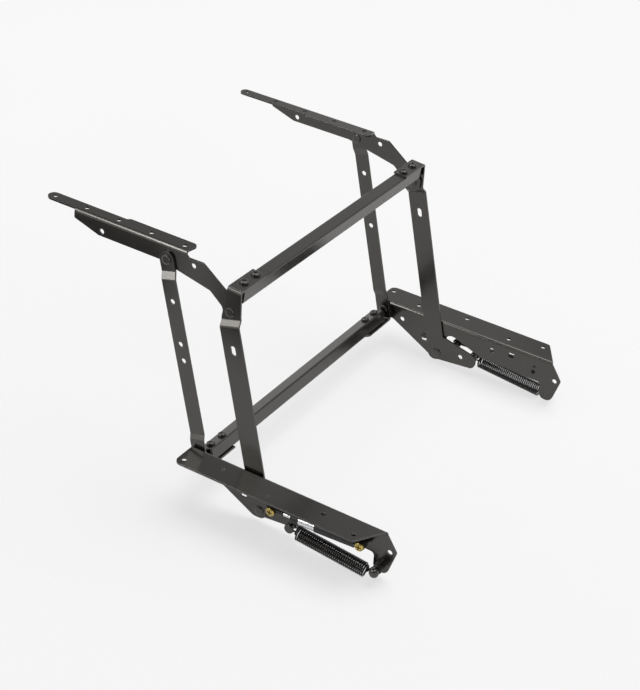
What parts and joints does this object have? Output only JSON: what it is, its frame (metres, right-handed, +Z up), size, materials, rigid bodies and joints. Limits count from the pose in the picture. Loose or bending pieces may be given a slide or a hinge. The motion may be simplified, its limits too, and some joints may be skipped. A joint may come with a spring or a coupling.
{
  "type": "lift top table mechanism",
  "caption": "Spring-assisted parallelogram fitting that lifts a table top up and towards the sitter: flanged rails, paired arms, crossbars, top brackets, tension springs and dampers.",
  "frame": {"origin": "middle of the four outer corner holes of the two rail flanges, on the bedding plane under the flanges", "axes": "+X to the right side seen from the sitter's place, +Y to the tail of the rails where the springs end, +Z up; drawn raised"},
  "size_m": [0.557, 0.5383, 0.3235],
  "materials": {
    "black_steel": "semi-gloss black coat on pressed steel",
    "black_fasteners": "black coated steel rivets, screws, nuts and posts",
    "spring_steel": "black oiled spring wire",
    "yellow_zinc": "yellow zinc plated steel",
    "bright_steel": "bright steel tube and rod",
    "black_plastic": "black moulded damper body",
    "nylon": "dark nylon washers and sleeves"
  },
  "bodies": {
    "base": {"left_base_rail": "black_steel", "right_base_rail": "black_steel", "left_base_rivets": "black_fasteners", "right_base_rivets": "black_fasteners", "left_base_washers": "nylon", "right_base_washers": "nylon", "left_spring_rear_post": "black_fasteners", "right_spring_rear_post": "black_fasteners", "left_damper_rear_screw": "yellow_zinc", "right_damper_rear_screw": "yellow_zinc"},
    "main_arms": {"left_main_arm": "black_steel", "right_main_arm": "black_steel", "upper_crossbar": "black_steel", "upper_crossbar_screws": "black_fasteners", "upper_crossbar_nuts": "black_fasteners", "left_spring_front_post": "black_fasteners", "right_spring_front_post": "black_fasteners"},
    "narrow_arms": {"left_narrow_arm": "black_steel", "right_narrow_arm": "black_steel", "lower_crossbar": "black_steel", "lower_crossbar_screws": "black_fasteners", "lower_crossbar_nuts": "black_fasteners"},
    "right_bracket": {"right_top_bracket": "black_steel", "right_top_rivets": "black_fasteners", "right_top_washers": "nylon"},
    "right_spring_seat": {"right_spring_sleeve": "nylon"},
    "right_spring_coil": {"right_spring": "spring_steel"},
    "right_damper_barrel": {"right_damper_cylinder": "black_plastic", "right_damper_tube": "bright_steel", "right_damper_cap": "black_plastic"},
    "right_damper_plunger": {"right_damper_rod": "bright_steel", "right_damper_rod_end": "black_plastic", "right_damper_front_screw": "yellow_zinc"},
    "left_bracket": {"left_top_bracket": "black_steel", "left_top_rivets": "black_fasteners", "left_top_washers": "nylon"},
    "left_spring_seat": {"left_spring_sleeve": "nylon"},
    "left_spring_coil": {"left_spring": "spring_steel"},
    "left_damper_barrel": {"left_damper_cylinder": "black_plastic", "left_damper_tube": "bright_steel", "left_damper_cap": "black_plastic"},
    "left_damper_plunger": {"left_damper_rod": "bright_steel", "left_damper_rod_end": "black_plastic", "left_damper_front_screw": "yellow_zinc"}
  },
  "joints": [
    {"name": "main_fold", "type": "hinge", "parent": "base", "child": "main_arms", "pos_m": [0, -0.025, -0.0485], "axis": [-1, 0, 0], "range_deg": [0, 101]},
    {"name": "narrow_fold", "type": "hinge", "parent": "base", "child": "narrow_arms", "pos_m": [0, -0.118, -0.0115], "axis": [-1, 0, 0], "range_deg": [0, 101]},
    {"name": "right_bracket_swing", "type": "hinge", "parent": "main_arms", "child": "right_bracket", "pos_m": [0.2261, -0.09475, 0.20301], "axis": [-1, 0, 0], "range_deg": [-101, 0]},
    {"name": "right_spring_swivel", "type": "hinge", "parent": "base", "child": "right_spring_seat", "pos_m": [0.2494, 0.1475, -0.048], "axis": [1, 0, 0], "range_deg": [0, 20.05]},
    {"name": "right_spring_stretch", "type": "slide", "parent": "right_spring_seat", "child": "right_spring_coil", "axis": [0, -0.9985, 0.0541], "range_m": [0, 0.0635], "deforming": ["right_spring"]},
    {"name": "right_damper_swivel", "type": "hinge", "parent": "base", "child": "right_damper_barrel", "pos_m": [0.2491, 0.123, -0.022], "axis": [1, 0, 0], "range_deg": [0, 18.92]},
    {"name": "right_damper_stroke", "type": "slide", "parent": "right_damper_barrel", "child": "right_damper_plunger", "axis": [0, -0.9984, -0.0566], "range_m": [0, 0.0205]},
    {"name": "left_bracket_swing", "type": "hinge", "parent": "main_arms", "child": "left_bracket", "pos_m": [-0.2261, -0.09475, 0.20301], "axis": [-1, 0, 0], "range_deg": [-101, 0]},
    {"name": "left_spring_swivel", "type": "hinge", "parent": "base", "child": "left_spring_seat", "pos_m": [-0.2494, 0.1475, -0.048], "axis": [1, 0, 0], "range_deg": [0, 20.05]},
    {"name": "left_spring_stretch", "type": "slide", "parent": "left_spring_seat", "child": "left_spring_coil", "axis": [0, -0.9985, 0.0541], "range_m": [0, 0.0635], "deforming": ["left_spring"]},
    {"name": "left_damper_swivel", "type": "hinge", "parent": "base", "child": "left_damper_barrel", "pos_m": [-0.2491, 0.123, -0.022], "axis": [1, 0, 0], "range_deg": [0, 18.92]},
    {"name": "left_damper_stroke", "type": "slide", "parent": "left_damper_barrel", "child": "left_damper_plunger", "axis": [0, -0.9984, -0.0566], "range_m": [0, 0.0205]}
  ],
  "couplings": [
    {"joint": "narrow_fold", "follows": "main_fold", "ratio": 1},
    {"joint": "right_bracket_swing", "follows": "main_fold", "ratio": -1},
    {"joint": "right_spring_swivel", "follows": "main_fold", "ratio": 0.19804},
    {"joint": "right_spring_stretch", "follows": "main_fold", "m_per_rad": 0.035966},
    {"joint": "right_damper_swivel", "follows": "main_fold", "ratio": 0.18687},
    {"joint": "right_damper_stroke", "follows": "main_fold", "m_per_rad": 0.011596},
    {"joint": "left_bracket_swing", "follows": "main_fold", "ratio": -1},
    {"joint": "left_spring_swivel", "follows": "main_fold", "ratio": 0.19804},
    {"joint": "left_spring_stretch", "follows": "main_fold", "m_per_rad": 0.035966},
    {"joint": "left_damper_swivel", "follows": "main_fold", "ratio": 0.18687},
    {"joint": "left_damper_stroke", "follows": "main_fold", "m_per_rad": 0.011596}
  ]
}
